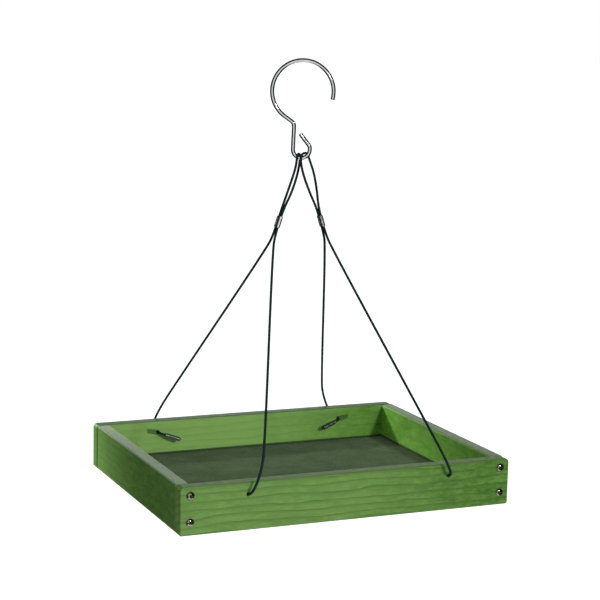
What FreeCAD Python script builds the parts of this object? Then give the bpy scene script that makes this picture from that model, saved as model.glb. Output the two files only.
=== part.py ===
import FreeCAD, Part
import math
import os
from FreeCAD import Rotation, Vector

# Hanging platform bird feeder: a shallow wooden tray with a wire screen floor, hung by two
# coated steel cables from one bent wire hook. Millimetres. The origin is the point where the
# hook's big loop rests on whatever holds it, +Z is up, +X runs along the tray's long side and
# the long side with negative Y is the front.

# Tray boards
tray_width = 380.0            # over the ends of the front and back boards
tray_depth = 300.0            # over the faces of the front and back boards
board_height = 51.0
board_thickness = 15.0
hang_height = 421.0           # from the hook's seat down to the tops of the boards
corner_round = 4.5            # upper end corners of the front and back boards
foot_round = 2.2              # lower end corners of the front and back boards
edge_ease = 1.6               # sanded edges round the front and back boards
side_edge_round = 2.4         # long edges of the side boards

# Screen floor in its saw kerf
screen_drop = 39.5            # from the tops of the boards to the top of the screen
kerf_height = 2.0
kerf_depth = 4.5
screen_edge_gap = 0.5         # between the screen's edge and the bottom of the kerf
screen_seat_gap = 0.1
strip_thickness = 0.85        # of each of the two crossing layers
strip_overlap = 0.4           # how deep the layers are woven into each other
strip_width = 6.0
strip_pitch = 29.0

# Corner screws
screw_inset = 11.0            # from a board's end to the screws
upper_screw_drop = 9.0
lower_screw_drop = 36.8
screw_length = 34.0
screw_diameter = 3.6
screw_tip_length = 5.0
screw_tip_radius = 0.2
screw_clearance = 0.1         # round the shank, in both boards
head_diameter = 8.0
head_height = 2.7
head_rim = 1.0                # the straight edge of the pan head, below its slope
head_top_diameter = 5.6
recess_width = 1.2
recess_span = 4.6
recess_depth = 1.5

# Cables
cable_diameter = 2.8
cable_hole_diameter = 4.4
cable_hole_inset = 74.0       # from a board's end to the cable hole
cable_hole_drop = 13.0        # below the top of the board

# Bent wire hook
hook_wire = 4.8
hook_turn = -23.65            # the hook hangs turned about the vertical
loop_radius = 33.5            # to the middle of the wire, as all the hook's sizes are
loop_end_angle = -15.0        # where the big loop stops, from the horizontal
neck_side = -8.7              # the bend between the loop and the stem
neck_drop = 66.0
neck_radius = 6.0
cradle_side = -0.2            # the round bottom that carries the cables
cradle_drop = 94.6
cradle_radius = 9.2
return_rise = 3.6             # from the cradle's level up to the last bend
return_radius = 5.0
tip_side = -2.0               # the free end beside the stem
tip_drop = 77.1
hook_end_ease = 0.5

# Ferrules that close the two cable loops
ferrule_side = 23.7           # middle of the upper end, from the tray's middle plane
ferrule_drop = 167.5          # of the upper end, below the hook's seat
ferrule_tilt = 18.0           # each follows the pull of its loop
ferrule_face_turn = -65.3     # direction in which its two cables lie side by side
ferrule_length = 12.5
ferrule_wall = 0.8
ferrule_bore_gap = 0.15
strand_gap = 0.1              # between the two cables in a ferrule
crimp_width = 1.8
crimp_depth = 0.35
crimp_count = 3

# Stop sleeves on the cable ends, inside the tray
stop_diameter = 5.0
stop_length = 17.5
stop_tail = 1.6               # bare cable past the sleeve
stop_bore_gap = 0.1
stop_groove_width = 1.6
stop_groove_depth = 0.3
stop_groove_count = 2

# One cable leg near its board, from the straight part down to the hole's outer mouth. Each
# point is an offset from that mouth: along the board towards its end, out of the board, up.
leg_bend = [
    (-18.8, -4.3, 45.0),
    (-12.2, 5.2, 28.0),
    (-6.7, 8.7, 15.5),
    (-2.6, 8.5, 6.6),
    (-0.7, 5.5, 2.0),
    (0.0, -1.0, 0.0),
]

# The same leg inside the tray, as offsets from the hole's inner mouth: along the board
# towards its end, out of the board towards the tray's outside, up.
leg_tail = [
    (0.0, -3.5, 0.0),
    (-4.0, -6.5, -1.6),
    (-24.8, -9.3, -9.0),
]

# The four strands between the hook and the ferrules, from the hook down. Each point is given
# across the hook's plane: sideways, away from the viewer, and height below the hook's seat.
left_front_strand = [(-4.7, -4.2, -98.9)]
left_back_strand = [
    (-0.9, 3.95, -99.3),
    (-1.7, 3.95, -108.0),
    (-4.6, 1.4, -125.5),
    (-10.9, -3.4, -144.5),
]
right_front_strand = [
    (-0.6, -3.95, -98.6),
    (-0.7, -3.95, -107.5),
    (3.2, -1.3, -124.0),
    (11.2, 4.3, -144.5),
]
right_back_strand = [
    (6.3, 4.4, -97.4),
    (9.3, 4.2, -105.5),
    (14.3, 5.2, -120.0),
    (18.0, 6.6, -139.5),
]
ferrule_lead = 5.0            # each strand straightens this far above its ferrule
ferrule_run_out = 5.5         # and bends this far below it
split_run = 18.0              # from that bend to the straight part of the leg

# Values that follow from the sizes above
half_width = tray_width / 2
half_depth = tray_depth / 2
inner_half_width = half_width - board_thickness
inner_half_depth = half_depth - board_thickness
tray_top = -hang_height
tray_bottom = tray_top - board_height
screen_thickness = 2 * strip_thickness - strip_overlap
kerf_top = tray_top - screen_drop + (kerf_height - screen_thickness) - screen_seat_gap
kerf_bottom = kerf_top - kerf_height
screw_x = half_width - screw_inset
cable_hole_x = half_width - cable_hole_inset
cable_hole_z = tray_top - cable_hole_drop
hook_radius = hook_wire / 2
loop_centre_z = hook_radius - loop_radius
strand_spacing = cable_diameter + strand_gap
hook_rotation = Rotation(Vector(0, 0, 1), hook_turn)


def save(shape, name):
    """Write one sub-part and print its volume and place."""
    box = shape.BoundBox
    shape.exportStep("parts/" + name + ".step")
    print(name, "solids", len(shape.Solids), "valid", shape.isValid(),
          "volume %.1f" % shape.Volume,
          "z %.1f to %.1f" % (box.ZMin, box.ZMax))


def arc_about(centre, radius, start_deg, end_deg):
    """Arc in the X-Z plane, angles counted from +X towards +Z."""
    def point(angle):
        turn = math.radians(angle)
        return centre + Vector(radius * math.cos(turn), 0, radius * math.sin(turn))
    middle = (start_deg + end_deg) / 2
    return Part.Arc(point(start_deg), point(middle), point(end_deg)).toShape()


def sweep(path, diameter):
    """Round bar or cable along a path of straight runs and tangent arcs."""
    first = path.Edges[0]
    start = path.OrderedVertexes[0].Point
    ahead = first.tangentAt(first.FirstParameter)
    if (first.valueAt(first.FirstParameter) - start).Length > 1e-6:
        ahead = first.tangentAt(first.LastParameter) * -1
    section = Part.Wire(Part.makeCircle(diameter / 2, start, ahead))
    solid = path.makePipeShell([section], True, False)
    if solid.Volume < 0:
        solid.reverse()
    return solid


def cord_path(points, name):
    """Straight runs joined by arcs as large as the shorter run beside each point allows."""
    edges = []
    radii = []
    start = points[0]
    for before, corner, after in zip(points, points[1:], points[2:]):
        run_in = corner - before
        run_out = after - corner
        turn = run_in.getAngle(run_out)
        setback = 0.45 * min(run_in.Length, run_out.Length)
        radius = setback / math.tan(turn / 2)
        run_in.normalize()
        run_out.normalize()
        begin = corner - run_in * setback
        end = corner + run_out * setback
        inward = run_out - run_in
        inward.normalize()
        middle = corner + inward * (radius / math.cos(turn / 2) - radius)
        edges.append(Part.LineSegment(start, begin).toShape())
        edges.append(Part.Arc(begin, middle, end).toShape())
        radii.append(radius)
        start = end
    edges.append(Part.LineSegment(start, points[-1]).toShape())
    print(name, "bend radii", " ".join("%.1f" % radius for radius in radii))
    return Part.Wire(edges)


# Boards

def end_board_blank():
    """A full-width board on its edge, with rounded corners and sanded edges."""
    low = tray_bottom
    high = tray_top
    left = -half_width
    right = half_width
    up_left = Vector(left + corner_round, 0, high - corner_round)
    up_right = Vector(right - corner_round, 0, high - corner_round)
    low_right = Vector(right - foot_round, 0, low + foot_round)
    low_left = Vector(left + foot_round, 0, low + foot_round)
    corners = [
        arc_about(up_left, corner_round, 180, 90),
        arc_about(up_right, corner_round, 90, 0),
        arc_about(low_right, foot_round, 0, -90),
        arc_about(low_left, foot_round, -90, -180),
    ]
    edges = []
    for corner, following in zip(corners, corners[1:] + corners[:1]):
        edges.append(corner)
        edges.append(Part.LineSegment(corner.valueAt(corner.LastParameter),
                                      following.valueAt(following.FirstParameter)).toShape())
    outline = Part.Wire(Part.__sortEdges__(edges))
    outline.translate(Vector(0, -half_depth, 0))
    board = Part.Face(outline).extrude(Vector(0, board_thickness, 0))
    rim = [edge for edge in board.Edges
           if abs(edge.BoundBox.YMax - edge.BoundBox.YMin) < 1e-6]
    return board.makeFillet(edge_ease, rim)


def end_board_kerf():
    """The groove that takes the screen's edge, stopped inside the side boards' grooves."""
    reach = inner_half_width + kerf_depth
    return Part.makeBox(2 * reach, kerf_depth, kerf_height,
                        Vector(-reach, -inner_half_depth - kerf_depth, kerf_bottom))


def front_board():
    """The front board, with its kerf, its two cable holes and its four screw holes."""
    board = end_board_blank().cut(end_board_kerf())
    for side in (-1, 1):
        mouth = Vector(side * cable_hole_x, -half_depth - 1, cable_hole_z)
        hole = Part.makeCylinder(cable_hole_diameter / 2, board_thickness + 2, mouth,
                                 Vector(0, 1, 0))
        board = board.cut(hole)
    for side in (-1, 1):
        for drop in (upper_screw_drop, lower_screw_drop):
            board = board.cut(screw_hole(side, drop))
    return board


def screw_hole(side, drop):
    """Room for one screw's shank, from the front board's face into the side board's end."""
    start = Vector(side * screw_x, -half_depth - 1, tray_top - drop)
    return Part.makeCylinder(screw_diameter / 2 + screw_clearance, screw_length + 2, start,
                             Vector(0, 1, 0))


def side_board(side):
    """A board between the front and back boards, with rounded long edges and its kerf."""
    left = inner_half_width if side > 0 else -half_width
    blank = Part.makeBox(board_thickness, 2 * inner_half_depth, board_height,
                         Vector(left, -inner_half_depth, tray_bottom))
    long_edges = [edge for edge in blank.Edges
                  if edge.BoundBox.YMax - edge.BoundBox.YMin > board_thickness]
    board = blank.makeFillet(side_edge_round, long_edges)
    kerf_left = inner_half_width if side > 0 else -inner_half_width - kerf_depth
    board = board.cut(Part.makeBox(kerf_depth, 2 * inner_half_depth, kerf_height,
                                   Vector(kerf_left, -inner_half_depth, kerf_bottom)))
    for drop in (upper_screw_drop, lower_screw_drop):
        hole = screw_hole(side, drop)
        board = board.cut(hole).cut(turned_half(hole))
    return board


def turned_half(shape):
    """The same shape at the other long side of the tray, mirrored through the middle."""
    return shape.mirror(Vector(0, 0, 0), Vector(0, 1, 0))


# Screen

def screen():
    """Woven wire floor: crossing strips stand for its wires, with open meshes between them."""
    half_x = inner_half_width + kerf_depth - screen_edge_gap
    half_y = inner_half_depth + kerf_depth - screen_edge_gap
    low = kerf_bottom + screen_seat_gap
    over = low + strip_thickness - strip_overlap
    border = kerf_depth + strip_width
    strips = []
    for end in (-1, 1):
        across = Vector(end * (half_x - border / 2), 0, over)
        strips.append(strip(border, 2 * half_y, across))
        along = Vector(0, end * (half_y - border / 2), low)
        strips.append(strip(2 * half_x, border, along))
    for place in strip_places(half_x - border):
        strips.append(strip(strip_width, 2 * half_y, Vector(place, 0, over)))
    for place in strip_places(half_y - border):
        strips.append(strip(2 * half_x, strip_width, Vector(0, place, low)))
    return strips[0].multiFuse(strips[1:]).removeSplitter()


def strip(length_x, length_y, middle):
    """One flat strip, centred over the given point, with that point's level underneath."""
    corner = middle - Vector(length_x / 2, length_y / 2, 0)
    return Part.makeBox(length_x, length_y, strip_thickness, corner)


def strip_places(half_span):
    """Middles of the strips between two borders, evenly spaced near the wanted pitch."""
    count = round((2 * half_span + strip_width) / strip_pitch)
    step = (2 * half_span + strip_width) / count
    return [(number - count / 2) * step for number in range(1, count)]


# Screws

def screw():
    """Pan-head wood screw along +Y, with the underside of its head at the origin."""
    along = Vector(0, 1, 0)
    shank_radius = screw_diameter / 2
    shank_length = screw_length - screw_tip_length
    head_radius = head_diameter / 2
    rim = Part.makeCylinder(head_radius, head_rim, Vector(0, -head_rim, 0), along)
    crown = Part.makeCone(head_top_diameter / 2, head_radius, head_height - head_rim,
                          Vector(0, -head_height, 0), along)
    shank = Part.makeCylinder(shank_radius, shank_length, Vector(0, 0, 0), along)
    tip = Part.makeCone(shank_radius, screw_tip_radius, screw_tip_length,
                        Vector(0, shank_length, 0), along)
    body = rim.multiFuse([crown, shank, tip])
    for across, up in ((recess_span, recess_width), (recess_width, recess_span)):
        slot = Part.makeBox(across, 2 * recess_depth, up,
                            Vector(-across / 2, -head_height - recess_depth, -up / 2))
        body = body.cut(slot)
    return body


def corner_screws(side, front):
    """The two screws that hold one side board to the front or the back board."""
    pair = []
    for drop in (upper_screw_drop, lower_screw_drop):
        one = screw()
        one.translate(Vector(side * screw_x, -half_depth, tray_top - drop))
        pair.append(one if front else turned_half(one))
    return Part.makeCompound(pair)


# Hook

def hook_path():
    """The hook's wire in the X-Z plane, from the big loop's end to the tip by the stem."""
    loop_centre = Vector(0, 0, loop_centre_z)
    neck = Vector(neck_side, 0, -neck_drop)
    to_neck = neck - loop_centre
    reach = math.degrees(math.acos(loop_radius / to_neck.Length))
    neck_angle = math.degrees(math.atan2(to_neck.z, to_neck.x)) % 360
    leave_angle = neck_angle - reach
    loop = arc_about(loop_centre, loop_radius, loop_end_angle, leave_angle)
    leave = loop.valueAt(loop.LastParameter)
    cradle_centre = Vector(cradle_side, 0, -cradle_drop)
    cradle_start = cradle_centre - Vector(cradle_radius, 0, 0)
    cradle_end = cradle_centre + Vector(cradle_radius, 0, 0)
    cradle = arc_about(cradle_centre, cradle_radius, 180, 360)
    last_bend = cradle_end + Vector(0, 0, return_rise)
    tip = Vector(tip_side, 0, -tip_drop)
    neck_edges = bend(leave, neck, cradle_start, neck_radius)
    return_edges = bend(cradle_end, last_bend, tip, return_radius)
    return Part.Wire([loop] + neck_edges + [cradle] + return_edges)


def bend(before, corner, after, radius):
    """A run, an arc of the given radius at the corner, and the run after it."""
    run_in = corner - before
    run_out = after - corner
    turn = run_in.getAngle(run_out)
    setback = radius * math.tan(turn / 2)
    run_in.normalize()
    run_out.normalize()
    begin = corner - run_in * setback
    end = corner + run_out * setback
    inward = run_out - run_in
    inward.normalize()
    middle = corner + inward * (radius / math.cos(turn / 2) - radius)
    return [Part.LineSegment(before, begin).toShape(),
            Part.Arc(begin, middle, end).toShape(),
            Part.LineSegment(end, after).toShape()]


def hook():
    """One round wire, bent into a big open loop above and a small closed one below."""
    path = hook_path()
    wire = sweep(path, hook_wire)
    ends = [edge for edge in wire.Edges
            if edge.Closed and any((edge.CenterOfMass - vertex.Point).Length < 0.01
                                   for vertex in (path.OrderedVertexes[0],
                                                  path.OrderedVertexes[-1]))]
    wire = wire.makeChamfer(hook_end_ease, ends)
    wire.rotate(Vector(0, 0, 0), Vector(0, 0, 1), hook_turn)
    print("hook length of wire %.1f" % path.Length)
    return wire


# Cables

def ferrule_axis(side):
    """Direction from the hook's end of a ferrule to its tray end."""
    tilt = math.radians(ferrule_tilt)
    return Vector(side * math.sin(tilt), 0, -math.cos(tilt))


def ferrule_top(side):
    return Vector(side * ferrule_side, 0, -ferrule_drop)


def across_ferrule(side):
    """Direction in which a ferrule's two cables lie side by side, square to its axis."""
    turn = math.radians(ferrule_face_turn)
    flat = Vector(math.cos(turn), math.sin(turn), 0)
    axis = ferrule_axis(side)
    flat = flat - axis * flat.dot(axis)
    flat.normalize()
    return flat


def on_hook(points):
    """Turn points given across the hook's plane into the feeder's frame."""
    return [hook_rotation.multVec(Vector(*point)) for point in points]


def leg(side, front, lane):
    """One leg, from just above its ferrule through its board to its end in the tray."""
    out = -1 if front else 1
    axis = ferrule_axis(side)
    offset = across_ferrule(side) * (lane * strand_spacing / 2)
    top = ferrule_top(side) + offset
    points = [top - axis * ferrule_lead, top + axis * (ferrule_length + ferrule_run_out)]
    bend_points = []
    for along, away, up in leg_bend:
        bend_points.append(Vector(side * (cable_hole_x + along), out * (half_depth + away),
                                  cable_hole_z + up))
    straight = bend_points[0] - points[-1]
    straight.normalize()
    points.append(points[-1] + axis * (split_run / 2) + straight * (split_run / 2))
    points += bend_points
    for along, away, up in leg_tail:
        points.append(Vector(side * (cable_hole_x + along), out * (inner_half_depth + away),
                             cable_hole_z + up))
    return points


def cable_points(side):
    """A whole cable, from its end inside the front board to its end inside the back."""
    if side < 0:
        front_leg = leg(side, True, 1)
        back_leg = leg(side, False, -1)
        front_strand = on_hook(left_back_strand)
        back_strand = on_hook(left_front_strand)
    else:
        front_leg = leg(side, True, 1)
        back_leg = leg(side, False, -1)
        front_strand = on_hook(right_back_strand)
        back_strand = on_hook(right_front_strand)
    return front_leg[::-1] + front_strand[::-1] + back_strand + back_leg


def cable(side, name):
    path = cord_path(cable_points(side), name)
    tube = sweep(path, cable_diameter)
    expected = path.Length * math.pi * cable_diameter ** 2 / 4
    print(name, "length %.1f" % path.Length, "volume %.1f of %.1f" % (tube.Volume, expected))
    return tube


def stadium(width, height, length):
    """Prism along +Z whose section is two half circles joined by flats."""
    radius = height / 2
    straight = width - height
    middle = Part.makeBox(straight, height, length, Vector(-straight / 2, -radius, 0))
    left = Part.makeCylinder(radius, length, Vector(-straight / 2, 0, 0))
    right = Part.makeCylinder(radius, length, Vector(straight / 2, 0, 0))
    return middle.multiFuse([left, right]).removeSplitter()


def ferrule(side):
    """Oval sleeve pressed over both strands of one cable, with three crimp marks a side."""
    bore_height = cable_diameter + 2 * ferrule_bore_gap
    bore_width = strand_spacing + bore_height
    width = bore_width + 2 * ferrule_wall
    height = bore_height + 2 * ferrule_wall
    sleeve = stadium(width, height, ferrule_length).cut(
        stadium(bore_width, bore_height, ferrule_length))
    for number in range(crimp_count):
        low = ferrule_length * (number + 1) / (crimp_count + 1) - crimp_width / 2
        for face in (-1, 1):
            level = height / 2 - crimp_depth if face > 0 else -height / 2
            press = Part.makeBox(strand_spacing, crimp_depth, crimp_width,
                                 Vector(-strand_spacing / 2, level, low))
            sleeve = sleeve.cut(press)
    axis = ferrule_axis(side)
    across = across_ferrule(side)
    through = axis.cross(across)
    sleeve.Placement = placement_from_axes(across, through, axis, ferrule_top(side))
    return sleeve


def placement_from_axes(x_axis, y_axis, z_axis, base):
    matrix = FreeCAD.Matrix(x_axis.x, y_axis.x, z_axis.x, base.x,
                            x_axis.y, y_axis.y, z_axis.y, base.y,
                            x_axis.z, y_axis.z, z_axis.z, base.z)
    return FreeCAD.Placement(matrix)


def stop(side, front):
    """Round sleeve crimped on a cable's end, with its rolled grooves."""
    last, end = leg(side, front, 1)[-2:]
    along = end - last
    along.normalize()
    radius = stop_diameter / 2
    bore = cable_diameter / 2 + stop_bore_gap
    sleeve = Part.makeCylinder(radius, stop_length).cut(Part.makeCylinder(bore, stop_length))
    for number in range(stop_groove_count):
        low = stop_length * (number + 1) / (stop_groove_count + 1) - stop_groove_width / 2
        ring = Part.makeCylinder(radius + 1, stop_groove_width, Vector(0, 0, low)).cut(
            Part.makeCylinder(radius - stop_groove_depth, stop_groove_width,
                              Vector(0, 0, low)))
        sleeve = sleeve.cut(ring)
    base = end - along * (stop_tail + stop_length)
    sleeve.Placement = FreeCAD.Placement(base, Rotation(Vector(0, 0, 1), along))
    return sleeve


os.makedirs("parts", exist_ok=True)
front = front_board()
save(front, "front_board")
save(turned_half(front), "back_board")
save(side_board(-1), "left_board")
save(side_board(1), "right_board")
save(screen(), "screen")
for side, side_name in ((-1, "left"), (1, "right")):
    for is_front, end_name in ((True, "front"), (False, "back")):
        corner_name = end_name + "_" + side_name
        save(corner_screws(side, is_front), corner_name + "_screws")
        save(stop(side, is_front), corner_name + "_stop")
    save(cable(side, side_name + "_cable"), side_name + "_cable")
    save(ferrule(side), side_name + "_ferrule")
save(hook(), "hook")
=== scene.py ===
# %% [markdown]
# # A hanging platform bird feeder
#
# The real feeder is a shallow tray of four green stained boards with a wire screen for a
# floor. Two coated steel cables carry it from one bent wire hook. The fixed model gives every
# rigid piece at its real size and place. This lesson adds what that model leaves plain: the
# smooth cables, the woven screen, the turned screws, and a finish for every surface.

# %% The fixed model
import bpy
import math
from mathutils import Matrix, Vector


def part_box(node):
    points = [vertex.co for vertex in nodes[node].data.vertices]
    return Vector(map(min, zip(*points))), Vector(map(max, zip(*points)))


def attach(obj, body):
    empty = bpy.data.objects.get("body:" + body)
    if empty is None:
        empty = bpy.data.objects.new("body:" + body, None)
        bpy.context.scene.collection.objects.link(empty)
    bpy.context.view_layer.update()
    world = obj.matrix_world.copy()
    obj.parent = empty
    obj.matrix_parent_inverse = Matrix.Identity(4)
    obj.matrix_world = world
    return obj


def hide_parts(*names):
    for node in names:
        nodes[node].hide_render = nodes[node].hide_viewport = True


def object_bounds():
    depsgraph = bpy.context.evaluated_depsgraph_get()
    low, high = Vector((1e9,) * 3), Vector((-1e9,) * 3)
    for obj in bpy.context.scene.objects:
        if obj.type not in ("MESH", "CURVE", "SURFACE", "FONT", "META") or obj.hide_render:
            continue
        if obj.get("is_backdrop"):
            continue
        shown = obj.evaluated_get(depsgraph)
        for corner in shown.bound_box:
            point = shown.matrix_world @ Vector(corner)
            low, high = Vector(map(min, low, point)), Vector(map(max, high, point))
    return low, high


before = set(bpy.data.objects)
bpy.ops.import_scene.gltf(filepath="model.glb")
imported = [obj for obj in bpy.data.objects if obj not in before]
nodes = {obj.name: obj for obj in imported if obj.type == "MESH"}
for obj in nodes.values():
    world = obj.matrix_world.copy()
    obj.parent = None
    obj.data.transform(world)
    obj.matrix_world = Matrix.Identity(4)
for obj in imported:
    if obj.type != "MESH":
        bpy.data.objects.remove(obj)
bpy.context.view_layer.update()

# %% [markdown]
# ## Camera
#
# The photograph looks slightly down on the tray from its front left. The camera could be
# placed by eye, but the tray's corners fix it far better, so its place, its turn and its long
# lens are the ones at which those corners fall where the photograph has them.

# %% Camera
camera_place = Vector((-0.7701, -1.7614, 0.0507))
camera_azimuth = math.radians(-23.68)
camera_elevation = math.radians(9.22)
camera_roll = math.radians(1.336)
lens_length = 105.25
film_width = 36
camera_reach = 100
camera_data = bpy.data.cameras.new("camera")
camera_data.lens = lens_length
camera_data.sensor_width = film_width
camera_data.clip_end = camera_reach
camera = bpy.data.objects.new("camera", camera_data)
camera.matrix_world = (Matrix.Translation(camera_place)
                       @ Matrix.Rotation(camera_azimuth, 4, "Z")
                       @ Matrix.Rotation(math.pi / 2 - camera_elevation, 4, "X")
                       @ Matrix.Rotation(camera_roll, 4, "Z"))
bpy.context.scene.collection.objects.link(camera)
bpy.context.scene.camera = camera
bpy.context.scene.view_settings.view_transform = "Standard"
print("camera at", tuple(camera_place), "with a lens of", lens_length, "mm")

# %% [markdown]
# ## The two cables
#
# Each cable is one length of coated steel rope. It starts in a sleeve inside the front board,
# goes out through its hole and up to a ferrule, over the hook's small eye, back through the
# same ferrule, and down to the back board. A mesh tube could follow the route, but a smooth
# spline with a round section bends as the taut rope does, so each cable is a curve of one
# spline. Its points are the corners of the route, given from the hole or across the hook.

# %% Sizes that the cable route hangs on
millimetre = 0.001
cable_diameter = 2.8 * millimetre
cable_hole_x = 116 * millimetre
cable_hole_z = -434 * millimetre
board_out = 150 * millimetre
board_in = 135 * millimetre
hook_turn = math.radians(-23.65)
ferrule_side = 23.7 * millimetre
ferrule_drop = 167.5 * millimetre
ferrule_length = 12.5 * millimetre
ferrule_tilt = math.radians(18)
ferrule_face_turn = math.radians(-65.3)
strand_spacing = 2.9 * millimetre
ferrule_lead = 9 * millimetre
ferrule_run_out = 7.5 * millimetre
split_run = 18 * millimetre
print("cables", cable_diameter, "m thick, through holes", cable_hole_x, "m from the middle")

# %% Points that bend the cables
# Offsets from the hole's outer mouth in millimetres: along the board, out of it, up
leg_bend = [
    (-18.8, -4.3, 45.0),
    (-12.2, 5.2, 28.0),
    (-6.7, 8.7, 15.5),
    (-2.6, 8.5, 6.6),
    (-0.7, 5.5, 2.0),
    (0.0, -1.0, 0.0),
]

# Offsets from the hole's inner mouth; the third point keeps the end straight in its sleeve
leg_tail = [
    (0.0, -3.5, 0.0),
    (-4.0, -6.5, -1.6),
    (-8.7, -7.1, -3.3),
    (-24.8, -9.3, -9.0),
]

# Points by the hook's eye: along the hook's plane, across it, and up from the hook's seat
left_back_strand = [
    (-1.3, 5.6, -99.3),
    (-1.7, 4.3, -110.0),
    (-4.6, 1.4, -125.5),
    (-10.9, -3.4, -144.5),
]
left_front_strand = [
    (-4.7, -5.9, -99.0),
    (-5.4, -4.9, -113.0),
    (-14.0, -8.0, -140.0),
]
right_back_strand = [
    (6.5, 5.9, -97.8),
    (9.2, 4.8, -106.5),
    (14.3, 5.2, -120.0),
    (18.0, 6.6, -139.5),
]
right_front_strand = [
    (-0.4, -5.5, -98.9),
    (-0.5, -4.4, -109.0),
    (3.2, -1.3, -124.0),
    (11.2, 4.3, -144.5),
]
print("each leg bends through", len(leg_bend) + len(leg_tail), "points")


# %% The route of one cable
def ferrule_axis(side):
    """Direction from the hook's end of a ferrule to its tray end."""
    return Vector((side * math.sin(ferrule_tilt), 0, -math.cos(ferrule_tilt)))


def across_ferrule(side):
    """Direction in which the two cables lie side by side in a ferrule."""
    axis = ferrule_axis(side)
    flat = Vector((math.cos(ferrule_face_turn), math.sin(ferrule_face_turn), 0))
    return (flat - axis * flat.dot(axis)).normalized()


def ferrule_top(side):
    return Vector((side * ferrule_side, 0, -ferrule_drop))


def leg(side, out, lane):
    """One leg, from above its ferrule through its board to its end in the tray."""
    axis = ferrule_axis(side)
    top = ferrule_top(side) + across_ferrule(side) * (lane * strand_spacing / 2)
    points = [top - axis * ferrule_lead, top + axis * (ferrule_length + ferrule_run_out)]
    corners = []
    for face, offsets in ((board_out, leg_bend), (board_in, leg_tail)):
        for along, away, up in offsets:
            corners.append(Vector((side * (cable_hole_x + along * millimetre),
                                   out * (face + away * millimetre),
                                   cable_hole_z + up * millimetre)))
    straight = (corners[0] - points[-1]).normalized()
    points.append(points[-1] + (axis + straight) * (split_run / 2))
    return points + corners


def on_hook(points):
    """Points given along and across the hook's plane, turned into the feeder's frame."""
    turn = Matrix.Rotation(hook_turn, 3, "Z")
    return [turn @ Vector(point) * millimetre for point in points]


def cable_route(side, back_strand, front_strand):
    """The whole route, from the end inside the front board to the end inside the back."""
    front_leg = leg(side, -1, 1)
    back_leg = leg(side, 1, -1)
    return front_leg[::-1] + on_hook(back_strand)[::-1] + on_hook(front_strand) + back_leg


left_route = cable_route(-1, left_back_strand, left_front_strand)
right_route = cable_route(1, right_back_strand, right_front_strand)
print("left route from", tuple(left_route[0]), "to", tuple(left_route[-1]))


# %% Cable curves
spline_order = 3
spline_steps = 10
round_steps = 5


def make_cable(name, route, node):
    """A round curve along a route that ends in the tray."""
    data = bpy.data.curves.new(name, "CURVE")
    data.dimensions = "3D"
    spline = data.splines.new("NURBS")
    spline.points.add(len(route) - 1)
    for point, place in zip(spline.points, route):
        point.co = (*place, 1)
        point.radius = cable_diameter / 2
    spline.order_u = spline_order
    spline.use_endpoint_u = True
    spline.resolution_u = spline_steps
    data.bevel_depth = 1
    data.bevel_resolution = round_steps
    data.use_fill_caps = True
    piece = bpy.data.objects.new(name, data)
    bpy.context.scene.collection.objects.link(piece)
    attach(piece, "root")
    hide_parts(node)
    print(name, "has", len(route), "points")
    return piece


cables = [
    make_cable("cable_left", left_route, "left_cable"),
    make_cable("cable_right", right_route, "right_cable"),
]

# %% [markdown]
# ## The woven screen
#
# The floor is a square weave of thin wires: each wire goes over one crossing wire and under
# the next. A flat sheet with a pattern would look right only from above, and the photograph
# looks along the floor, where the wires hide one another. So the wires are real. One half
# wave of wire is modelled, mirrored to a full wave, and arrayed along and across. A wire is
# thick for its spacing, so that the weave looks as closed from low down as the real one.

# %% Helpers for modelling
def clear_selection():
    bpy.ops.object.select_all(action="DESELECT")


def choose(piece):
    """Make one object the only selected and the active one."""
    clear_selection()
    piece.select_set(True)
    bpy.context.view_layer.objects.active = piece


def apply_modifiers(piece):
    choose(piece)
    for modifier in list(piece.modifiers):
        bpy.ops.object.modifier_apply(modifier=modifier.name)


def select_where(piece, test):
    """In edit mode, select the corners of a mesh that a test accepts, and nothing else."""
    bpy.ops.mesh.select_mode(type="VERT")
    bpy.ops.mesh.select_all(action="DESELECT")
    bpy.ops.object.mode_set(mode="OBJECT")
    for corner in piece.data.vertices:
        corner.select = test(corner)
    bpy.ops.object.mode_set(mode="EDIT")


def move_mesh(offset):
    """In edit mode, move the whole mesh."""
    bpy.ops.mesh.select_all(action="SELECT")
    bpy.ops.transform.translate(value=offset)


# %% One wave of wire
wire_pitch = 2.2 * millimetre
wire_radius = 0.42 * millimetre
wave_height = 0.13 * millimetre
wire_sides = 4


def half_wave(name):
    """An open four-sided wire from the top of its wave down to the bottom."""
    clear_selection()
    bpy.ops.mesh.primitive_cylinder_add(vertices=wire_sides, radius=wire_radius,
                                        depth=wire_pitch, end_fill_type="NOTHING",
                                        rotation=(0, math.pi / 2, 0))
    wire = bpy.context.object
    wire.name = name
    bpy.ops.object.transform_apply(location=True, rotation=True, scale=True)
    bpy.ops.object.mode_set(mode="EDIT")
    for end in (-1, 1):
        select_where(wire, lambda corner: corner.co.x * end > 0)
        bpy.ops.transform.translate(value=(0, 0, -end * wave_height))
    bpy.ops.object.mode_set(mode="OBJECT")
    return wire


def two_wires(name):
    """A full wave of wire, and its neighbour half a wave further on."""
    wire = half_wave(name)
    choose(wire)
    bpy.ops.object.mode_set(mode="EDIT")
    move_mesh((-wire_pitch / 2, 0, 0))
    bpy.ops.object.mode_set(mode="OBJECT")
    wire.modifiers.new("mirror", "MIRROR")
    apply_modifiers(wire)
    bpy.ops.object.duplicate()
    # Only the copy is selected now, so it alone moves
    bpy.ops.transform.translate(value=(wire_pitch, wire_pitch, 0))
    bpy.ops.object.transform_apply(location=True)
    wire.select_set(True)
    bpy.context.view_layer.objects.active = wire
    bpy.ops.object.join()
    return wire


print("wires", 2 * wire_radius, "m thick and", wire_pitch, "m apart")


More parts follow.
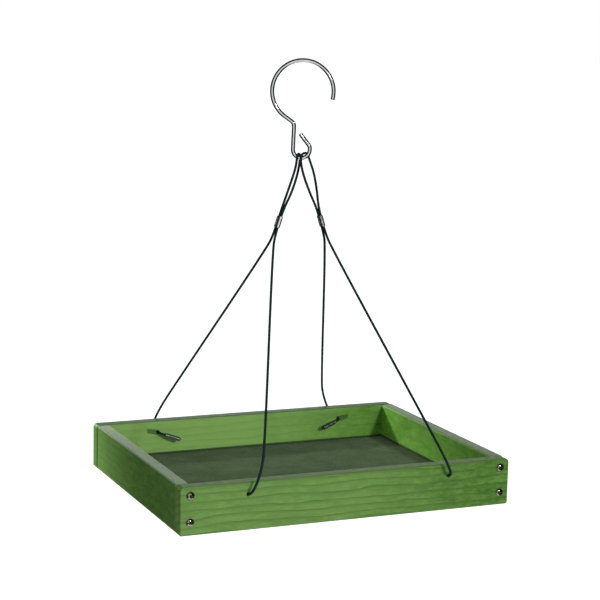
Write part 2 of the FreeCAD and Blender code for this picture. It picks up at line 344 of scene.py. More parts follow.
# %% Weave in one direction
wave = 2 * wire_pitch
merge_distance = 0.02 * millimetre


def array(piece, count, offset):
    modifier = piece.modifiers.new("array", "ARRAY")
    modifier.count = count
    modifier.use_relative_offset = False
    modifier.use_constant_offset = True
    modifier.constant_offset_displace = offset
    modifier.use_merge_vertices = True
    modifier.merge_threshold = merge_distance


def even_count(span):
    """How many waves cover a span, rounded up to an even number."""
    return math.ceil(span / wave / 2) * 2


def weave(name, length, width, phase):
    """Wires along X over one length, side by side across one width, centred on the origin."""
    wire = two_wires(name)
    count_along = even_count(length) + 2
    count_across = even_count(width)
    array(wire, count_along, (wave, 0, 0))
    array(wire, count_across, (0, wave, 0))
    apply_modifiers(wire)
    start_x = -count_along / 2 * wave + phase * wire_pitch
    start_y = -(count_across - 1) / 2 * wave - wire_pitch / 2
    bpy.ops.object.mode_set(mode="EDIT")
    move_mesh((start_x, start_y, 0))
    for end in (-1, 1):
        bpy.ops.mesh.select_all(action="SELECT")
        bpy.ops.mesh.bisect(plane_co=(end * length / 2, 0, 0), plane_no=(end, 0, 0),
                            clear_outer=True)
    bpy.ops.mesh.select_all(action="SELECT")
    bpy.ops.mesh.normals_make_consistent(inside=False)
    bpy.ops.object.mode_set(mode="OBJECT")
    bpy.ops.object.shade_smooth()
    return wire


# %% Both directions of the weave
kerf_room = 1 * millimetre
screen_low, screen_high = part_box("screen")
screen_middle = (screen_low + screen_high) / 2
screen_length = screen_high.x - screen_low.x - kerf_room
screen_width = screen_high.y - screen_low.y - kerf_room
long_wires = weave("screen_long_wires", screen_length, screen_width, 0)
cross_wires = weave("screen_cross_wires", screen_width, screen_length, 1)
cross_wires.rotation_euler = (0, 0, math.pi / 2)
for wires in (long_wires, cross_wires):
    choose(wires)
    wires.location = (0, 0, screen_middle.z)
    bpy.ops.object.transform_apply(location=True, rotation=True, scale=True)
    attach(wires, "root")
    print(wires.name, "has", len(wires.data.polygons), "faces")
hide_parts("screen")

# %% [markdown]
# ## The screws
#
# Each corner is held by two screws with domed heads. A lathe would turn one from a profile,
# and this does the same: a half ball is pressed flat to make the dome, and its open rim is
# drawn down and in, step by step, to the rim, the neck, the shank and the point. A cross is
# then cut into the dome. The one screw is copied to every place, each with its own turn.

# %% One turned screw
head_radius = 4.3 * millimetre
dome_height = 2.1 * millimetre
rim_height = 0.6 * millimetre
shank_radius = 1.8 * millimetre
shank_length = 29 * millimetre
tip_length = 5 * millimetre
tip_radius = 0.2 * millimetre
head_segments = 24
head_rings = 16
level_tolerance = 0.01 * millimetre


def draw_rim(drop, scale):
    """Draw the selected open rim down and then to a part of its width."""
    bpy.ops.mesh.extrude_region_move(TRANSFORM_OT_translate={"value": (0, 0, -drop)})
    bpy.ops.transform.resize(value=(scale, scale, 1), center_override=(0, 0, 0))


def turned_screw():
    """A screw along Z whose head sits on the plane at zero."""
    clear_selection()
    bpy.ops.mesh.primitive_uv_sphere_add(segments=head_segments, ring_count=head_rings,
                                         radius=head_radius)
    screw = bpy.context.object
    bpy.ops.object.mode_set(mode="EDIT")
    bpy.ops.mesh.select_all(action="SELECT")
    bpy.ops.mesh.bisect(plane_co=(0, 0, 0), plane_no=(0, 0, 1), clear_inner=True)
    bpy.ops.mesh.select_all(action="SELECT")
    bpy.ops.transform.resize(value=(1, 1, dome_height / head_radius),
                             center_override=(0, 0, 0))
    bpy.ops.transform.translate(value=(0, 0, rim_height))
    select_where(screw, lambda corner: abs(corner.co.z - rim_height) < level_tolerance)
    draw_rim(rim_height, 1)
    draw_rim(0, shank_radius / head_radius)
    draw_rim(shank_length, 1)
    draw_rim(tip_length, tip_radius / shank_radius)
    bpy.ops.mesh.edge_face_add()
    bpy.ops.mesh.select_all(action="SELECT")
    bpy.ops.mesh.normals_make_consistent(inside=False)
    bpy.ops.object.mode_set(mode="OBJECT")
    return screw


first_screw = turned_screw()
print("turned screw has", len(first_screw.data.polygons), "faces")

# %% Cross in its head
recess_length = 4.8 * millimetre
recess_width = 1.3 * millimetre
recess_depth = 1.5 * millimetre
smooth_angle = math.radians(35)


def cut_cross(screw):
    """Cut a cross recess into the top of the dome."""
    top = dome_height + rim_height
    bars = []
    for length, width in ((recess_length, recess_width), (recess_width, recess_length)):
        clear_selection()
        bpy.ops.mesh.primitive_cube_add(size=1, location=(0, 0, top),
                                        scale=(length, width, 2 * recess_depth))
        bars.append(bpy.context.object)
    for bar in bars:
        bar.select_set(True)
    bpy.ops.object.join()
    cutter = bpy.context.object
    modifier = screw.modifiers.new("cross", "BOOLEAN")
    modifier.object = cutter
    modifier.solver = "EXACT"
    modifier.use_self = True
    apply_modifiers(screw)
    bpy.data.objects.remove(cutter, do_unlink=True)


cut_cross(first_screw)
choose(first_screw)
bpy.ops.object.shade_smooth_by_angle(angle=smooth_angle)
print("finished screw has", len(first_screw.data.polygons), "faces")

# %% Eight screws
screws = []
turn_step = math.radians(37)
for y_name, out in (("front", -1), ("back", 1)):
    for x_name in ("left", "right"):
        node = y_name + "_" + x_name + "_screws"
        low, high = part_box(node)
        inset = (high.x - low.x) / 2  # from the box's edge to the middle of a head
        for z_name, z in (("upper", high.z - inset), ("lower", low.z + inset)):
            screw = first_screw.copy()
            screw.data = first_screw.data.copy()
            bpy.context.scene.collection.objects.link(screw)
            screw.name = "_".join((y_name, x_name, z_name, "screw"))
            place = Vector(((low.x + high.x) / 2, out * board_out, z))
            own_turn = Matrix.Rotation(turn_step * len(screws), 4, "Z")
            screw.matrix_world = (Matrix.Translation(place)
                                  @ Matrix.Rotation(-out * math.pi / 2, 4, "X") @ own_turn)
            choose(screw)
            bpy.ops.object.transform_apply(location=True, rotation=True, scale=True)
            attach(screw, "root")
            if z_name == "upper":
                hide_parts(node)
            screws.append(screw)
bpy.data.objects.remove(first_screw, do_unlink=True)
print(len(screws), "screws from", screws[0].name, "to", screws[-1].name)

# %% [markdown]
# ## Finishes
#
# Every finish is built from nodes, so it has no seams and keeps its scale. An effect that
# serves more than one material, such as the grain of a sawn board or the fine unevenness of
# handled metal, is a node group that is built once and placed with its own values.

# %% Helpers for nodes
def feed(tree, node, values):
    """Give each named input a plain value, or link it to another node's output."""
    for name, value in values.items():
        if isinstance(value, bpy.types.NodeSocket):
            tree.links.new(value, node.inputs[name])
        else:
            node.inputs[name].default_value = value


def add_node(tree, kind, values=None, **settings):
    """A node of one kind, with its settings and its named inputs."""
    node = tree.nodes.new("ShaderNode" + kind)
    for name, setting in settings.items():
        setattr(node, name, setting)
    feed(tree, node, values or {})
    return node


def link_axes(tree, vector):
    """The three parts of a vector."""
    node = add_node(tree, "SeparateXYZ", {"Vector": vector})
    return [node.outputs[axis] for axis in "XYZ"]


def link_ramp(tree, value, stops):
    """A colour that follows a value between two places, each with its colour."""
    node = add_node(tree, "ValToRGB", {"Fac": value})
    for element, (place, colour) in zip(node.color_ramp.elements, stops):
        element.position = place
        element.color = (*colour, 1)
    return node.outputs["Color"]


def link_relief(tree, height, strength, depth):
    """A surface direction that follows a height, for relief too fine to model."""
    node = add_node(tree, "Bump", {"Height": height, "Strength": strength,
                                   "Distance": depth})
    return node.outputs["Normal"]


# %% Helpers for sums
def link_math(tree, operation, *values):
    """The result of one operation on numbers."""
    node = add_node(tree, "Math", dict(enumerate(values)), operation=operation)
    return node.outputs["Value"]


def link_product(tree, first, *others):
    """The product of several numbers, such as masks that all have to hold."""
    for other in others:
        first = link_math(tree, "MULTIPLY", first, other)
    return first


def link_range(tree, value, start, end, to_start=0.0, to_end=1.0):
    """A value led from one range to another, and held at its ends."""
    node = add_node(tree, "MapRange", {"Value": value, "From Min": start, "From Max": end,
                                       "To Min": to_start, "To Max": to_end})
    return node.outputs["Result"]


def link_vectors(tree, operation, *values):
    """The result of one operation on vectors."""
    node = add_node(tree, "VectorMath", dict(enumerate(values)), operation=operation)
    return node.outputs["Vector"]


def link_scaled(tree, vector, scale):
    """A vector or a colour times a number."""
    node = add_node(tree, "VectorMath", {0: vector, "Scale": scale}, operation="SCALE")
    return node.outputs["Vector"]


# %% Helpers for groups and materials
def new_group(name, inputs, outputs):
    """An empty node group with its named inputs and outputs, and its two end nodes."""
    tree = bpy.data.node_groups.new(name, "ShaderNodeTree")
    for label, value in inputs.items():
        kind = "NodeSocketVector" if isinstance(value, tuple) else "NodeSocketFloat"
        socket = tree.interface.new_socket(label, in_out="INPUT", socket_type=kind)
        socket.default_value = value
    for label in outputs:
        tree.interface.new_socket(label, in_out="OUTPUT", socket_type="NodeSocketFloat")
    return tree, tree.nodes.new("NodeGroupInput"), tree.nodes.new("NodeGroupOutput")


def place_group(tree, group, values):
    """A node that puts a group to use, with its own values."""
    node = tree.nodes.new("ShaderNodeGroup")
    node.node_tree = group
    feed(tree, node, values)
    return node


def new_material(name, values):
    """A material with one Principled shader whose plain values are set."""
    material = bpy.data.materials.new(name)
    material.use_nodes = True
    tree = material.node_tree
    shader = tree.nodes["Principled BSDF"]
    feed(tree, shader, values)
    return material, tree, shader


def finish_with(piece, material):
    """Give every material slot of a piece the same finish."""
    if not piece.material_slots:
        piece.data.materials.append(material)
    for slot in piece.material_slots:
        slot.material = material


# %% [markdown]
# ### Grain of a sawn board
#
# A tree's rings are rough cylinders along the board, so a wave of rings about a distant axis
# cuts any face of the board as the saw does: long wavering lines on the sides and arcs on the
# ends. The rings are bent by slow noise first. Fine fibres, stretched along the board, break
# up what lies between them.

# %% Rings of the grain
slow_stretch = (9, 42, 42)
ring_scale = 40.0
ring_waver = 0.015
late_wood_power = 3.6
board_grain, grain_in, grain_out = new_group(
    "board grain",
    {"Place": (0, 0, 0), "Ring Centre": (0, 0, 0), "Ring Scale": ring_scale,
     "Waver": ring_waver},
    ["Rings", "Fibres", "Patches", "Height"])
grain_place = grain_in.outputs["Place"]


def stretched_noise(stretch, detail, roughness):
    """Noise drawn out along the board, finer where its stretch is larger."""
    mapping = add_node(board_grain, "Mapping", {"Vector": grain_place, "Scale": stretch})
    return add_node(board_grain, "TexNoise",
                    {"Vector": mapping.outputs["Vector"], "Scale": 1.0, "Detail": detail,
                     "Roughness": roughness})


slow_noise = stretched_noise(slow_stretch, detail=3.0, roughness=0.5)
either_way = link_vectors(board_grain, "SUBTRACT", slow_noise.outputs["Color"],
                          (0.5, 0.5, 0.5))
bend = link_scaled(board_grain, either_way, grain_in.outputs["Waver"])
bent = link_vectors(board_grain, "ADD", grain_place, bend)
from_ring_centre = link_vectors(board_grain, "SUBTRACT", bent,
                                grain_in.outputs["Ring Centre"])
rings = add_node(board_grain, "TexWave",
                 {"Vector": from_ring_centre, "Scale": grain_in.outputs["Ring Scale"],
                  "Distortion": 0.0, "Detail": 0.0},
                 wave_type="RINGS", rings_direction="X", wave_profile="SAW")
late_wood = link_math(board_grain, "POWER", rings.outputs["Fac"], late_wood_power)
print("rings of the grain:", len(board_grain.nodes), "nodes")

# %% Fibres and patches of the grain
fibre_stretch = (120, 480, 480)
patch_stretch = (50, 110, 110)
faint_patch = 0.38
full_patch = 0.6
faintest_ring = 0.3
ring_height = 0.5
fibres = stretched_noise(fibre_stretch, detail=4.0, roughness=0.6).outputs["Fac"]
patches = stretched_noise(patch_stretch, detail=6.0, roughness=0.75).outputs["Fac"]
break_up = link_range(board_grain, patches, faint_patch, full_patch, faintest_ring, 1.0)
sunk_ring = link_math(board_grain, "MULTIPLY", late_wood, ring_height)
feed(board_grain, grain_out, {
    "Rings": link_math(board_grain, "MULTIPLY", late_wood, break_up),
    "Fibres": fibres,
    "Patches": patches,
    "Height": link_math(board_grain, "SUBTRACT", fibres, sunk_ring),
})
print("whole grain:", len(board_grain.nodes), "nodes")

# %% [markdown]
# ### Edges, tops and joints
#
# Sawn boards are softened at their edges, and there a painted highlight lightens the colour;
# on the front board the edges are darker instead. The planed top edges are smoother than the
# faces, and their paler colour is partly planed wood and partly painted sheen and light, set
# board by board. The back joints show outside as dark lines, and a painted shade darkens the
# mouth of the saw kerf. Painted light makes the long boards paler towards the left, and the
# left board towards the back. All of this follows from where a point lies, so one group
# measures that, partly from the board's box.

# %% Places and depths in a board
board_edges, edges_in, edges_out = new_group(
    "board edges", {"Place": (0, 0, 0), "Centre": (0, 0, 0), "Half Size": (0, 0, 0)},
    ["Edge", "Top", "Seam", "End", "Pale", "Far", "Kerf"])
edges_place = edges_in.outputs["Place"]
from_centre = link_vectors(board_edges, "SUBTRACT", edges_place, edges_in.outputs["Centre"])
off_centre = link_vectors(board_edges, "ABSOLUTE", from_centre)
depths = link_vectors(board_edges, "SUBTRACT", edges_in.outputs["Half Size"], off_centre)
x_depth, y_depth, z_depth = link_axes(board_edges, depths)
x_place, y_place, z_place = link_axes(board_edges, edges_place)
x_from_middle = link_math(board_edges, "ABSOLUTE", x_place)
y_from_middle = link_math(board_edges, "ABSOLUTE", y_place)
print("places and depths:", len(board_edges.nodes), "nodes")

# %% Edges, tops and ends
edge_width = 1.6 * millimetre
edge_full_part = 0.2
top_level = -421 * millimetre


def near(depth, width, full_part):
    """One close below a face, falling to nought at a width below it."""
    return link_range(board_edges, depth, full_part * width, width, 1.0, 0.0)


# A point is as far from the nearest edge as the middle one of its three depths
smaller = link_math(board_edges, "MINIMUM", x_depth, y_depth)
larger = link_math(board_edges, "MAXIMUM", x_depth, y_depth)
capped = link_math(board_edges, "MINIMUM", larger, z_depth)
to_edge = link_math(board_edges, "MAXIMUM", smaller, capped)
feed(board_edges, edges_out, {
    "Edge": near(to_edge, edge_width, edge_full_part),
    "Top": link_range(board_edges, z_place, top_level - edge_width, top_level),
    "End": near(x_depth, edge_width, edge_full_part),
})
# The Edge mask carries a painted highlight, where a rounded edge catches light.
print("edges are worn over", edge_width, "m")

# %% Painted light and back joints
# Pale and Far are painted light: the long boards lighter towards the left, the left board
# lighter towards the back, where more light falls.
pale_from = 0 * millimetre
pale_until = 170 * millimetre
far_from = -20 * millimetre
far_until = 150 * millimetre
seam_width = 4.5 * millimetre
seam_core = 0.5
inner_length = 176 * millimetre
at_joint = near(y_depth, seam_width, seam_core)
behind = link_math(board_edges, "GREATER_THAN", y_place, 0.0)
outside = link_math(board_edges, "GREATER_THAN", x_from_middle, inner_length)
feed(board_edges, edges_out, {
    "Pale": link_range(board_edges, x_place, pale_until, pale_from),
    "Far": link_range(board_edges, y_place, far_from, far_until),
    "Seam": link_product(board_edges, at_joint, behind, outside),
})
print("joints are dark over", seam_width, "m")

# %% Mouths of the kerfs
# The Kerf mask marks the kerf's mouth, where a painted shade darkens the boards.
inner_face = 136 * millimetre
kerf_reach = 3.2 * millimetre
kerf_softness = 0.8 * millimetre
within_length = link_math(board_edges, "LESS_THAN", x_from_middle, inner_length)
within_width = link_math(board_edges, "LESS_THAN", y_from_middle, inner_face)
from_screen = link_math(board_edges, "SUBTRACT", z_place, screen_middle.z)
from_kerf = link_math(board_edges, "ABSOLUTE", from_screen)
near_kerf = link_range(board_edges, from_kerf, kerf_reach, kerf_reach - kerf_softness)
feed(board_edges, edges_out, {
    "Kerf": link_product(board_edges, within_length, within_width, near_kerf),
})
print("board edges:", len(board_edges.nodes), "nodes")

# %% [markdown]
# ### Painted shade beside the holes
#
# Inside the back board, a dark tapering mark of painted shade runs outward from each hole.
# It is flush with the wood, so only the colour darkens there and the board is not cut.

# %% Shape of a hole's painted shade
mark_start = 116.5 * millimetre
mark_end = mark_start + 13.5 * millimetre
mark_half_height = 3.4 * millimetre
mark_end_half_height = 2.8 * millimetre
mark_middle = cable_hole_z - 0.6 * millimetre
mark_end_middle = cable_hole_z + 2.2 * millimetre
painted_hole_shade, mark_in, mark_out = new_group("painted hole shade", {"Place": (0, 0, 0)}, ["Mark"])
mark_x, mark_y, mark_z = link_axes(painted_hole_shade, mark_in.outputs["Place"])
outward = link_math(painted_hole_shade, "ABSOLUTE", mark_x)
half_height = link_range(painted_hole_shade, outward, mark_start, mark_end, mark_half_height,
                         mark_end_half_height)
middle_height = link_range(painted_hole_shade, outward, mark_start, mark_end, mark_middle,
                           mark_end_middle)
off_middle = link_math(painted_hole_shade, "SUBTRACT", mark_z, middle_height)
distance = link_math(painted_hole_shade, "ABSOLUTE", off_middle)
beyond = link_math(painted_hole_shade, "SUBTRACT", distance, half_height)
print("drill marks from", mark_start, "to", mark_end, "m")

# %% Soft limits of a hole's painted shade
mark_fade_out = 0.2 * millimetre
mark_fade_in = 0.6 * millimetre
mark_tail = 1.5 * millimetre
soft_mark = link_range(painted_hole_shade, beyond, mark_fade_out, -mark_fade_in)
started = link_math(painted_hole_shade, "GREATER_THAN", outward, mark_start)
ended = link_range(painted_hole_shade, outward, mark_end, mark_end - mark_tail)
on_face = link_math(painted_hole_shade, "LESS_THAN", mark_y, inner_face)
feed(painted_hole_shade, mark_out, {
    "Mark": link_product(painted_hole_shade, soft_mark, started, ended, on_face),
})
print("painted hole shade:", len(painted_hole_shade.nodes), "nodes")

# %% [markdown]
# ### Green stain on the boards
#
# The stain is thin and lets the grain show: darker along the late wood, lighter where the
# wood took less. The grain runs along each board, so the side boards turn it by a quarter.
# One material could serve all four boards, but each has its own ring centre and its own marks,
# as if cut from its own log, and its own gain in brightness, which is painted light for how
# much light falls on that board. So a board's finish is a list of layers, each with the mask
# it follows, its colour, and how far it covers what lies below.

# %% Colours of the stain
stain_dark = (0.018, 0.062, 0.004)
stain_mid = (0.040, 0.138, 0.004)
stain_light = (0.118, 0.270, 0.038)
# The pale green is painted light. The edge colours are a painted highlight and a darker edge
# for the front board, the kerf colour is a painted shade, and the four planed colours are
# partly planed wood and partly painted sheen and light, set board by board.
painted_light_green = (0.200, 0.360, 0.092)
painted_edge_highlight = (0.240, 0.400, 0.130)
darker_edge_colour = (0.026, 0.080, 0.008)
painted_kerf_shade = (0.010, 0.034, 0.004)
planed_and_sheen_side = (0.200, 0.275, 0.170)
planed_and_sheen_right = (0.120, 0.180, 0.100)
planed_and_sheen_front = (0.070, 0.150, 0.024)
planed_and_shaded_back = (0.022, 0.062, 0.016)
print("stain from", stain_dark, "to", painted_light_green)

# %% Bare stain and its layers
blotch_middle = 0.51
gap_value = 0.32
gap_shade = (0.7, 0.7, 0.7)
fibre_value = 0.62
fibre_shade = (1, 1, 1)


def bare_stain(tree, grain, blotch_spread):
    """Stain in blotches, a little darker between the fibres."""
    blotches = link_ramp(tree, grain.outputs["Patches"],
                         [(blotch_middle - blotch_spread, stain_mid),
                          (blotch_middle + blotch_spread, stain_light)])
    shade = link_ramp(tree, grain.outputs["Fibres"],
                      [(gap_value, gap_shade), (fibre_value, fibre_shade)])
    shaded = add_node(tree, "Mix", {"Factor": 1.0, "A": blotches, "B": shade},
                      data_type="RGBA", blend_type="MULTIPLY")
    return shaded.outputs["Result"]


def cover(tree, colour, masks, layers):
    """Lay plain colours over a colour, each where its mask is set and by its share."""
    for mask, layer_colour, share in layers:
        factor = link_math(tree, "MULTIPLY", masks[mask], share)
        mix = add_node(tree, "Mix", {"Factor": factor, "A": colour, "B": (*layer_colour, 1)},
                       data_type="RGBA")
        colour = mix.outputs["Result"]
    return colour


# %% Material of one board
noise_low = 0.3
noise_high = 0.7
stained_wood = {"Specular IOR Level": 0.35}
smooth_fibres = 0.42
rough_fibres = 0.62
planed_gain = 0.1
grain_strength = 0.5
grain_depth = 0.4 * millimetre


def stained_board(board, turn, offset, ring_centre, blotch_spread, painted_light_layers, painted_light_gain, layers):
    """Green stained wood whose grain is turned and moved to run along one board."""
    material, tree, shader = new_material(board + "_stain", stained_wood)
    low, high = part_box(board)
    place = add_node(tree, "TexCoord").outputs["Object"]
    along_grain = add_node(tree, "Mapping", {"Vector": place, "Rotation": (0, 0, turn),
                                             "Location": offset})
    grain = place_group(tree, board_grain, {"Place": along_grain.outputs["Vector"],
                                            "Ring Centre": ring_centre})
    edges = place_group(tree, board_edges, {"Place": place, "Centre": (low + high) / 2,
                                            "Half Size": (high - low) / 2})
    mark = place_group(tree, painted_hole_shade, {"Place": place})
    masks = {mask.name: mask for group in (grain, edges, mark) for mask in group.outputs}
    # Painted light: these first layers, and the gain by which the stain is then scaled.
    stain = cover(tree, bare_stain(tree, grain, blotch_spread), masks, painted_light_layers)
    face_roughness = link_range(tree, masks["Fibres"], noise_low, noise_high,
                                smooth_fibres, rough_fibres)
    planed = link_math(tree, "MULTIPLY", masks["Top"], planed_gain)
    feed(tree, shader, {
        "Base Color": cover(tree, link_scaled(tree, stain, painted_light_gain), masks, layers),
        "Roughness": link_math(tree, "SUBTRACT", face_roughness, planed),
        "Normal": link_relief(tree, masks["Height"], grain_strength, grain_depth),
    })
    return material


# %% The four boards
quarter = math.pi / 2
edge_share = 0.4
top_share = 0.95
# Painted highlight along the edges (on the front board they are darker instead), and painted
# shade in the kerf's mouth.
highlit_edge_layer = ("Edge", painted_edge_highlight, edge_share)
dark_edge_layer = ("Edge", darker_edge_colour, edge_share)
kerf_shade_layer = ("Kerf", painted_kerf_shade, 0.85)
in_joint = ("Seam", stain_dark, 0.9)
# The Top layer of each board is partly planed wood and partly painted sheen and light.
board_finishes = {
    "front_board": {
        "turn": 0, "offset": (0, 0, 0), "ring_centre": (0, -0.21, -0.60),
        "blotch_spread": 0.12, "painted_light_layers": [("Pale", painted_light_green, 0.45)], "painted_light_gain": 1.12,
        "layers": [("Rings", stain_dark, 0.7), dark_edge_layer, ("Top", planed_and_sheen_front, top_share),
                   kerf_shade_layer]},
    "back_board": {
        "turn": 0, "offset": (0.4, 0, 0), "ring_centre": (0, 0.19, -0.56),
        "blotch_spread": 0.22, "painted_light_layers": [("Pale", painted_light_green, 0.72)], "painted_light_gain": 1.46,
        # End is partly end grain and partly painted light on the back board's ends, and Mark
        # is painted shade beside the holes.
        "layers": [("Rings", stain_dark, 0.25), highlit_edge_layer, ("Top", planed_and_shaded_back, top_share),
                   kerf_shade_layer, ("End", stain_light, 0.9), ("Mark", stain_dark, 0.75)]},
    "left_board": {
        "turn": quarter, "offset": (0.7, 0, 0), "ring_centre": (0, -0.24, -0.30),
        "blotch_spread": 0.3, "painted_light_layers": [("Far", painted_light_green, 0.5)], "painted_light_gain": 1.22,
        "layers": [("Rings", stain_dark, 0.25), highlit_edge_layer, ("Top", planed_and_sheen_side, top_share),
                   kerf_shade_layer, in_joint]},
    "right_board": {
        "turn": quarter, "offset": (1.3, 0, 0), "ring_centre": (0, 0.12, -0.52),
        "blotch_spread": 0.3, "painted_light_layers": [], "painted_light_gain": 1.85,
        "layers": [("Rings", stain_dark, 0.2), highlit_edge_layer, ("Top", planed_and_sheen_right, top_share),
                   kerf_shade_layer, in_joint]},
}
for board, choices in board_finishes.items():
    finish_with(nodes[board], stained_board(board, **choices))
    print(board, "has", len(choices["layers"]), "layers over its stain")

# %% [markdown]
# ### Metal and plastic
#
# Plated wire, pressed aluminium, dark screws and cable coating all have the same slight
# unevenness: a cloudy change in gloss and a fine relief. One group makes it, and each
# material sets how large the clouds are and how far the gloss moves.

# %% Handled surface group
grit_scale = 2600.0
handled, handled_in, handled_out = new_group(
    "handled surface",
    {"Place": (0, 0, 0), "Cloud Scale": 60.0, "Gloss Low": 0.2, "Gloss High": 0.4},
    ["Clouds", "Roughness", "Height"])
given = handled_in.outputs
clouds = add_node(handled, "TexNoise",
                  {"Vector": given["Place"], "Scale": given["Cloud Scale"], "Detail": 4.0,
                   "Roughness": 0.6}).outputs["Fac"]
grit = add_node(handled, "TexNoise",
                {"Vector": given["Place"], "Scale": grit_scale, "Detail": 2.0}).outputs["Fac"]
feed(handled, handled_out, {
    "Clouds": clouds,
    "Roughness": link_range(handled, clouds, noise_low, noise_high, given["Gloss Low"],
                            given["Gloss High"]),
    "Height": grit,
})
print("handled surface:", len(handled.nodes), "nodes")

# %% Metal and plastic finishes
handled_strength = 0.15
handled_depth = 0.1 * millimetre
bare_metal = {"Metallic": 1.0}


def handled_material(name, dark, light, shader_values, cloud_scale, gloss_low, gloss_high):
    """A Principled material whose colour and gloss drift between two values."""
    material, tree, shader = new_material(name, shader_values)
    place = add_node(tree, "TexCoord").outputs["Object"]
    surface = place_group(tree, handled, {"Place": place, "Cloud Scale": cloud_scale,
                                          "Gloss Low": gloss_low, "Gloss High": gloss_high})
    feed(tree, shader, {
        "Base Color": link_ramp(tree, surface.outputs["Clouds"],
                                [(noise_low, dark), (noise_high, light)]),
        "Roughness": surface.outputs["Roughness"],
        "Normal": link_relief(tree, surface.outputs["Height"], handled_strength,
                              handled_depth),
    })
    print(name, "drifts from", dark, "to", light)
    return material


plated_wire = handled_material(
    "plated_wire", (0.46, 0.49, 0.49), (0.62, 0.65, 0.65), bare_metal,
    cloud_scale=90.0, gloss_low=0.06, gloss_high=0.14)
pressed_metal = handled_material(
    "pressed_metal", (0.56, 0.57, 0.56), (0.80, 0.81, 0.80), bare_metal,
    cloud_scale=300.0, gloss_low=0.2, gloss_high=0.36)
dull_metal = handled_material(
    "dull_metal", (0.04, 0.055, 0.042), (0.13, 0.15, 0.125), bare_metal,
    cloud_scale=300.0, gloss_low=0.28, gloss_high=0.44)
screw_metal = handled_material(
    "screw_metal", (0.15, 0.15, 0.11), (0.28, 0.27, 0.21), bare_metal,
    cloud_scale=400.0, gloss_low=0.08, gloss_high=0.18)
cable_coating = handled_material(
    "cable_coating", (0.006, 0.018, 0.018), (0.010, 0.028, 0.029),
    {"Metallic": 0.0, "Specular IOR Level": 0.05},
    cloud_scale=120.0, gloss_low=0.5, gloss_high=0.66)
screen_metal = handled_material(
    "screen_metal", (0.062, 0.092, 0.046), (0.086, 0.122, 0.066),
    {"Metallic": 0.0, "Specular IOR Level": 0.0},
    cloud_scale=40.0, gloss_low=0.7, gloss_high=0.9)

# %% Finishes on the pieces
finish_with(nodes["hook"], plated_wire)
for name, node in nodes.items():
    if name.endswith("_ferrule"):
        finish_with(node, pressed_metal)
    if name.endswith("_stop"):
        finish_with(node, dull_metal)
for pieces, material in ((screws, screw_metal), (cables, cable_coating),
                         ((long_wires, cross_wires), screen_metal)):
    for piece in pieces:
        finish_with(piece, material)
    print(material.name, "on", len(pieces), "pieces")

# %% [markdown]
# ## Light and surroundings
#
# The key lamp stands in front, a little to the right and above, as the cables' shadows tell.
# A spot behind the left corner lights the far end of the tray, and a large lamp above
# softens both. The floor lies well below. Brighter lamps could make it white too, but they
# would bleach the wood, so floor and surroundings are white only for what the eye or a
# mirror sees.

# %% Floor
floor_level = -0.85
floor_size = 60
floor_glow = 0.84
clear_selection()
bpy.ops.mesh.primitive_plane_add(size=floor_size, location=(0, 0, floor_level))
floor = bpy.context.object
floor.name = "floor"
floor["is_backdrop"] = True


def seen_or_mirrored(tree):
    """One for camera, mirror and glass rays, and nought for the light that falls on things."""
    path = add_node(tree, "LightPath").outputs
    either = link_math(tree, "MAXIMUM", path["Is Camera Ray"], path["Is Glossy Ray"])
    return link_math(tree, "MAXIMUM", either, path["Is Transmission Ray"])


floor_paint, floor_tree, floor_shader = new_material(
    "floor_paint", {"Base Color": (0.8, 0.8, 0.79, 1), "Roughness": 0.9,
                    "Emission Color": (1, 1, 1, 1)})
feed(floor_tree, floor_shader, {
    "Emission Strength": link_math(floor_tree, "MULTIPLY", seen_or_mirrored(floor_tree),
                                   floor_glow),
})
finish_with(floor, floor_paint)
print("floor at", floor_level, "m")

# %% Surroundings
surroundings_light = 0.36
surroundings_white = 1.0
world = bpy.data.worlds.new("studio")
bpy.context.scene.world = world
world.use_nodes = True
world_tree = world.node_tree
feed(world_tree, world_tree.nodes["Background"], {
    "Color": (1, 1, 1, 1),
    "Strength": link_range(world_tree, seen_or_mirrored(world_tree), 0.0, 1.0,
                           surroundings_light, surroundings_white),
})
print("surroundings light with", surroundings_light, "and show", surroundings_white)

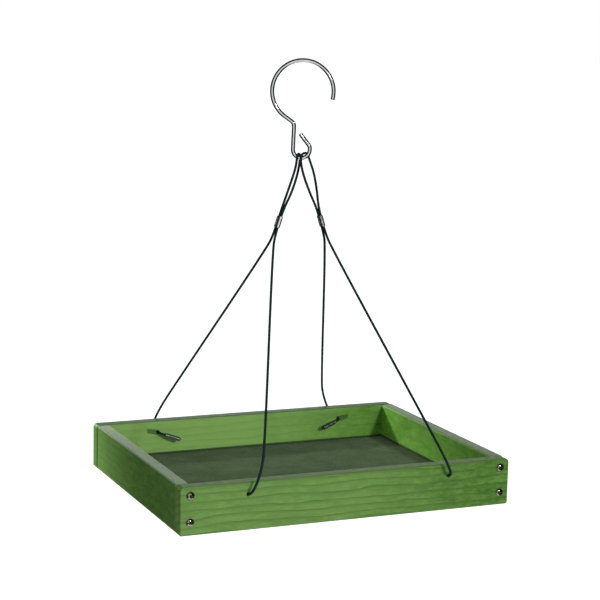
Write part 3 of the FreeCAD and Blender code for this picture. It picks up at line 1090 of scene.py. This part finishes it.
# %% Lamps
tray_middle = (0, 0, -0.44)
key_place = (0.74, -3.22, 0.95)
key_power = 59
key_size = 0.22
rear_place = (-0.62, 0.78, 0.06)
rear_aim = (-0.16, 0.42, -0.45)
rear_power = 62
rear_cone = math.radians(44)
rear_blend = 0.7
rear_size = 0.07
top_place = (0.1, 0.2, 1.4)
top_power = 9
top_size = 1.0


def lamp(kind, name, place, aim, power, **settings):
    """A lamp of one kind, turned towards a point."""
    data = bpy.data.lights.new(name, kind)
    data.energy = power
    for setting, value in settings.items():
        setattr(data, setting, value)
    piece = bpy.data.objects.new(name, data)
    piece.location = place
    piece.rotation_euler = (Vector(aim) - Vector(place)).to_track_quat("-Z", "Y").to_euler()
    piece.visible_camera = False
    bpy.context.scene.collection.objects.link(piece)
    print(name, "lamp of", power, "W")


lamp("AREA", "key", key_place, tray_middle, key_power, size=key_size)
lamp("SPOT", "rear_spot", rear_place, rear_aim, rear_power, spot_size=rear_cone,
     spot_blend=rear_blend, shadow_soft_size=rear_size)
lamp("AREA", "top", top_place, tray_middle, top_power, size=top_size)

# %% [markdown]
# ### A dark tunnel for the wire
#
# Bright wire in front of white would vanish. In a studio its edges are drawn by dark cards
# set outside the picture, which only the metal sees. Here one open tunnel along the line of
# sight does that: it is hidden from the camera and from every ray but a mirrored one.

# %% Dark tunnel
tunnel_radius = 0.8
tunnel_length = 3.1
tunnel_sides = 48
tunnel_aim = Vector((0, 0, -0.2))
tunnel_shift = 0.15
line_of_sight = camera.matrix_world.to_quaternion() @ Vector((0, 0, -1))
tunnel_middle = tunnel_aim + line_of_sight * tunnel_shift
clear_selection()
bpy.ops.mesh.primitive_cylinder_add(vertices=tunnel_sides, radius=tunnel_radius,
                                    depth=tunnel_length, end_fill_type="NOTHING",
                                    location=tunnel_middle,
                                    rotation=camera.matrix_world.to_euler())
tunnel = bpy.context.object
tunnel.name = "dark_tunnel"
tunnel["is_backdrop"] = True
tunnel_paint = new_material(
    "tunnel_paint", {"Base Color": (0.02, 0.02, 0.02, 1), "Roughness": 1.0})[0]
finish_with(tunnel, tunnel_paint)
for ray in ("camera", "diffuse", "transmission", "volume_scatter", "shadow"):
    setattr(tunnel, "visible_" + ray, False)
print("tunnel", tunnel_length, "m long about", tuple(tunnel_middle))

# %% Finish
low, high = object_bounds()
